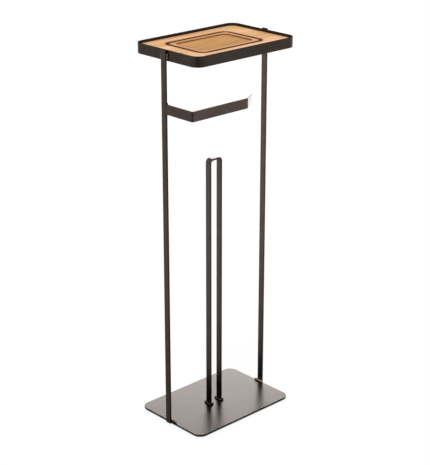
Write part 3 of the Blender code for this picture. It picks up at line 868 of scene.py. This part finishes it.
print("a bead's path has a step every", BEAD_STEP, "m")

# %% [markdown]
# ## Weld beads
# Weld metal freezes in overlapping ripples, so a bead looks like a row of thin coins that lean on
# each other, with round ends. A ring of vertices is laid at the start of the path and drawn on in
# small steps, and in each step it swells or shrinks: full at the start of a ripple, slimmer towards
# its end, and nearly closed at the bead's ends. A hand-laid bead also has lumps, where the welder
# paused, so a slower wave is laid over the ripples. Half of the bead is sunk in the pieces that it
# joins.

# %% Helpers for weld beads
BEAD_SIDES = 16
RIPPLE_DEPTH = 0.20
LUMP_DEPTH = 0.38
END_SIZE = 0.15
SAME_RING_POINT = 0.00002


def bead_size(radius, run, total, ripple, lumps, closed):
    """How thick a bead is at a place on its way, from its ripple, its lumps and its round ends."""
    size = radius * (1 - RIPPLE_DEPTH * (run / ripple % 1) ** 2)
    size *= 1 - LUMP_DEPTH * (0.5 - 0.5 * math.cos(math.tau * lumps * run / total))
    if not closed:
        end_share = min(1, max(0, min(run, total - run) / radius))
        size *= max(END_SIZE, math.sqrt(1 - (1 - end_share) ** 2))
    return size


def lay_bead(node, corners, radius, normal, ripple, coat, bend=0.0, closed=False, lumps=0):
    """Weld metal along a path that lies flat to the normal, as a piece that replaces its CAD node.
    Lumps is how often the bead swells on its way, where the welder paused."""
    points, total = even_steps(rounded_path(corners, bend, closed), BEAD_STEP)
    ripple = total / round(total / ripple)
    bm = bmesh.new()
    laid = None
    for index, point in enumerate(points):
        run = total * index / (len(points) - 1)
        size = bead_size(radius, run, total, ripple, lumps, closed)
        place = ring_at(point, way_ahead(points, index, closed), Vector(normal), size)
        if laid is None:
            verts = bmesh.ops.create_circle(bm, segments=BEAD_SIDES, radius=1, matrix=place)["verts"]
            ring = list({edge for vert in verts for edge in vert.link_edges})
        else:
            ring = draw_on(bm, ring, (0, 0, 0))
            verts = list({vert for edge in ring for vert in edge.verts})
            bmesh.ops.transform(bm, matrix=place @ laid.inverted(), verts=verts)
        laid = place
    if closed:
        bmesh.ops.remove_doubles(bm, verts=bm.verts, dist=SAME_RING_POINT)
    close_ends(bm, BEAD_SIDES)
    finish_steel(bm, node + "_bead", node, coat)


print("a bead has", BEAD_SIDES, "sides and ripples", RIPPLE_DEPTH, "of its radius deep")

# %% [markdown]
# ## The straight beads
# The beads at the feet of the uprights lie on the plate and run a little past the bar on both sides.
# Those on the rim stand upright beside the bar, and are short and lumpy. The small ones under the
# sheet hold it in the rim. The right foot's bead catches the light, so its coat is pale, a painted
# highlight.

# %% The straight beads
FOOT_BEAD = 0.0032
FOOT_RIPPLE = 0.0016
RIM_BEAD = 0.0027
RIM_FRONT_RIPPLE = 0.0017
RIM_BACK_RIPPLE = 0.0015
SHEET_BEAD = 0.001
SHEET_RIPPLE = 0.0012


def straight_bead(node, radius, free, run, ripple, coat=WELD_COAT, lumps=0):
    """A bead along one axis, in the place of its CAD node. Run is the axis that it follows, and free
    says for each axis on which side the bead stands free: its middle is one radius in from there."""
    low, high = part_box(node)
    middle = Vector([
        b - radius if side > 0 else a + radius if side < 0 else (a + b) / 2
        for a, b, side in zip(low, high, free)
    ])
    half = Vector([(b - a) / 2 if axis == run else 0 for axis, (a, b) in enumerate(zip(low, high))])
    normal = (1, 0, 0) if run == Z else (0, 0, 1)
    lay_bead(node, [middle - half, middle + half], radius, normal, ripple, coat, lumps=lumps)


straight_bead("left_foot_weld", FOOT_BEAD, (1, 0, 1), Y, FOOT_RIPPLE, lumps=4)
# Painted highlight: the right foot's bead gets the pale coat.
straight_bead("right_foot_weld", FOOT_BEAD, (-1, 0, 1), Y, FOOT_RIPPLE, FOOT_WELD_PAINTED_GLINT, lumps=4)
for side, out in (("left", -1), ("right", 1)):
    front, back = side + "_rim_weld_front", side + "_rim_weld_back"
    straight_bead(front, RIM_BEAD, (out, -1, 0), Z, RIM_FRONT_RIPPLE, RIM_WELD_COAT, lumps=3)
    straight_bead(back, RIM_BEAD, (out, 1, 0), Z, RIM_BACK_RIPPLE, RIM_WELD_COAT, lumps=2)
for side, inward in (("left", 1), ("right", -1)):
    straight_bead("sheet_weld_" + side, SHEET_BEAD, (inward, 0, -1), Y, SHEET_RIPPLE)
for side in ("left", "right"):
    straight_bead("sheet_weld_front_" + side, SHEET_BEAD, (0, 1, -1), X, SHEET_RIPPLE)
    straight_bead("sheet_weld_back_" + side, SHEET_BEAD, (0, -1, -1), X, SHEET_RIPPLE)

# %% [markdown]
# ## The beads that go round
# Each leg of the post has a bead right round its foot. The arm's bead goes over, inside and under
# the arm's end, where it meets the front edge of the left upright.

# %% The beads that go round
COLLAR_RADIUS = 0.0025
COLLAR_SHIFT = 0.0014
COLLAR_HEIGHT = 0.0011
COLLAR_RIPPLE = 0.0017
COLLAR_BEND = 0.0018
ARM_BEAD = 0.0013
ARM_RIPPLE = 0.0013
ARM_BEAD_BEND = 0.0013

for node in ("post_left_weld", "post_right_weld"):
    low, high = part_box(node)
    middle = (low + high) / 2
    half_x = POST_BAR / 2 + COLLAR_SHIFT
    half_y = (post_high.y - post_low.y) / 2 + COLLAR_SHIFT
    corners = [
        Vector((middle.x + x * half_x, middle.y + y * half_y, low.z + COLLAR_HEIGHT))
        for x, y in ((1, -1), (1, 1), (-1, 1), (-1, -1))
    ]
    lay_bead(
        node, corners, COLLAR_RADIUS, (0, 0, 1), COLLAR_RIPPLE, WELD_COAT,
        bend=COLLAR_BEND, closed=True, lumps=6,
    )

low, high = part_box("arm_weld")
over = high.z - ARM_BEAD
under = low.z + ARM_BEAD
inside = high.x - ARM_BEAD
turns = [(low.x, over), (inside, over), (inside, under), (low.x, under)]
corners = [Vector((x, low.y + ARM_BEAD, z)) for x, z in turns]
lay_bead("arm_weld", corners, ARM_BEAD, (0, 1, 0), ARM_RIPPLE, WELD_COAT, bend=ARM_BEAD_BEND)

# %% [markdown]
# ## The floor
# The photograph stands on pure white, with hardly a shadow. The floor is one matt plane, so large
# that its edge lies beyond every view.

# %% The floor
FLOOR_SIZE = 40.0

bm = bmesh.new()
bmesh.ops.create_grid(bm, x_segments=1, y_segments=1, size=FLOOR_SIZE / 2)
floor = as_object(bm, "floor")
print("the floor is", FLOOR_SIZE, "m wide")

# %% [markdown]
# ## The floor's paint
# The paint is matt white with a glow, which lifts what the camera sees of it to white and leaves a
# faint shadow round the plate. There is no glow under the plate, so the gap between plate and floor
# stays dark.
#
# The coat mirrors the floor as well. For mirrored rays the glow fades towards the plate, which
# gives the bars their darker lower halves and the plate its dark edges, as in the photograph. How
# far a point of the floor lies from the plate is found as the distance from a routed outline is.

# %% The floor's paint
MIRRORED_GLOW = 0.60
CAMERA_GLOW = 0.81
LIGHTING_GREY = (0.8, 0.8, 0.8, 1)
MIRRORED_GREY = (0.4, 0.4, 0.4, 1)
CAMERA_GREY = (0.2, 0.2, 0.2, 1)
FLOOR_NEAR = 0.05
FLOOR_FAR = 0.8
FLOOR_FADE_POWER = 0.6
GAP_DEPTH = 0.004


def seen_directly(tree):
    """1 for rays from the camera, a mirror or glass, and 0 for the light that falls on things."""
    path = tree.nodes.new("ShaderNodeLightPath").outputs
    mirror = math_node(tree, "MAXIMUM", path["Is Glossy Ray"], path["Is Transmission Ray"])
    return math_node(tree, "MAXIMUM", path["Is Camera Ray"], mirror)


floor_paint, tree, shader, place = start_material("floor_paint")
tree.nodes.remove(shader)
seen = seen_directly(tree)
in_camera = tree.nodes.new("ShaderNodeLightPath").outputs["Is Camera Ray"]
white = blend_colours(tree, seen, LIGHTING_GREY, MIRRORED_GREY)
white = blend_colours(tree, in_camera, white, CAMERA_GREY)
matt = add(tree, "ShaderNodeBsdfDiffuse", Color=white)
plate_low, plate_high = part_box("base_plate")
plate_half = (plate_high - plate_low) / 2
away = outline_distance(tree, place, 0.0, plate_half.x, plate_half.y, PLATE_CORNER)
fade = math_node(tree, "POWER", spread(tree, away, FLOOR_NEAR, FLOOR_FAR, 0.0, 1.0), FLOOR_FADE_POWER)
in_mirror = math_node(tree, "MULTIPLY", math_node(tree, "MULTIPLY", seen, MIRRORED_GLOW), fade)
open_floor = spread(tree, away, -GAP_DEPTH, 0.0, 0.0, 1.0)
to_camera = math_node(tree, "MULTIPLY", open_floor, CAMERA_GLOW)
strength = blend_colours(tree, in_camera, in_mirror, to_camera)
glow = add(tree, "ShaderNodeEmission", Strength=strength)
both = add(tree, "ShaderNodeAddShader", i0=matt.outputs[0], i1=glow.outputs[0])
tree.links.new(both.outputs[0], tree.nodes["Material Output"].inputs["Surface"])
floor.data.materials.append(floor_paint)
print("in mirrors the floor's glow is full", FLOOR_FAR, "m from the plate")

# %% [markdown]
# ## The world
# The room is white all round. What the camera, a mirror or glass sees of it is plain white, and the
# light that it sheds on things is half as strong, which leaves the rest to the lamps.

# %% The world
WORLD_LIGHT = 0.50

world = bpy.data.worlds.new("studio")
bpy.context.scene.world = world
world.use_nodes = True
tree = world.node_tree
sky = tree.nodes["Background"]
sky.inputs["Color"].default_value = WHITE
strength = spread(tree, seen_directly(tree), 0.0, 1.0, WORLD_LIGHT, 1.0)
tree.links.new(strength, sky.inputs["Strength"])
print("the world is white, and sheds", WORLD_LIGHT, "of its light")

# %% [markdown]
# ## The lamps
# Two soft lamps stand far away. The key lamp is high at the front left, and lights the wood and
# the faces that look at the camera. The backdrop lamp is low behind the holder: the plate mirrors
# it, and where a bar stands in its way, a dark streak runs from the bar's foot towards the camera.

# %% The lamps
def soft_sun(name, heading, height, width, radiance):
    """A far soft lamp, by the side it stands on, its height and its width as angles in degrees."""
    turn, rise, half = (math.radians(angle) for angle in (heading, height, width / 2))
    data = bpy.data.lights.new(name, "SUN")
    data.angle = 2 * half
    data.energy = radiance * 2 * math.pi * (1 - math.cos(half))
    lamp = bpy.data.objects.new(name, data)
    bpy.context.scene.collection.objects.link(lamp)
    away = Vector((math.sin(turn) * math.cos(rise), math.cos(turn) * math.cos(rise), math.sin(rise)))
    lamp.rotation_euler = away.to_track_quat("Z", "Y").to_euler()
    lamp.visible_camera = False
    print(name, "gives", round(data.energy, 2), "watts on a square metre")


soft_sun("key_lamp", heading=223, height=60, width=44, radiance=3.5)
soft_sun("backdrop_lamp", heading=43, height=15, width=27, radiance=9.2)

# %% [markdown]
# ## The cards
# Photographers place cards to shape reflections, and so does this studio. Only reflections see
# them. The dark card at the front left draws the dark line at the arm's corner and at the rim's
# corner. The lit card at the right is what the arm's lip mirrors.

# %% The cards
def mirror_card(name, place, facing, width, height, radiance):
    """A standing card that only reflections see: dark to shade them, or lit to brighten them."""
    bm = bmesh.new()
    bmesh.ops.create_grid(bm, x_segments=1, y_segments=1, size=0.5)
    bmesh.ops.scale(bm, vec=(width, height, 1), verts=bm.verts)
    stand = Matrix.Rotation(-math.radians(facing), 3, "Z") @ Matrix.Rotation(math.pi / 2, 3, "X")
    bmesh.ops.rotate(bm, cent=(0, 0, 0), matrix=stand, verts=bm.verts)
    bmesh.ops.translate(bm, vec=place, verts=bm.verts)
    card = as_object(bm, name)
    paint, tree, shader, _ = start_material(name + "_paint")
    tree.nodes.remove(shader)
    glow = add(tree, "ShaderNodeEmission", Strength=radiance)
    tree.links.new(glow.outputs[0], tree.nodes["Material Output"].inputs["Surface"])
    card.data.materials.append(paint)
    card.visible_camera = False
    card.visible_diffuse = False
    card.visible_shadow = False
    print(name, "is", width, "m wide and", height, "m high")


mirror_card("dark_card", place=(-1.05, -1.12, 0.5), facing=43, width=1.6, height=1.0, radiance=0.25)
mirror_card("lit_card", place=(0.85, 0.2, 0.24), facing=75, width=0.6, height=0.42, radiance=4.2)

# %% [markdown]
# ## The picture's colours
# The Standard view shows a colour as it is written, so a tone that is read off the photograph can be
# set against the same tone in the picture.

# %% The picture's colours
bpy.context.scene.view_settings.view_transform = "Standard"
print("view:", bpy.context.scene.view_settings.view_transform)
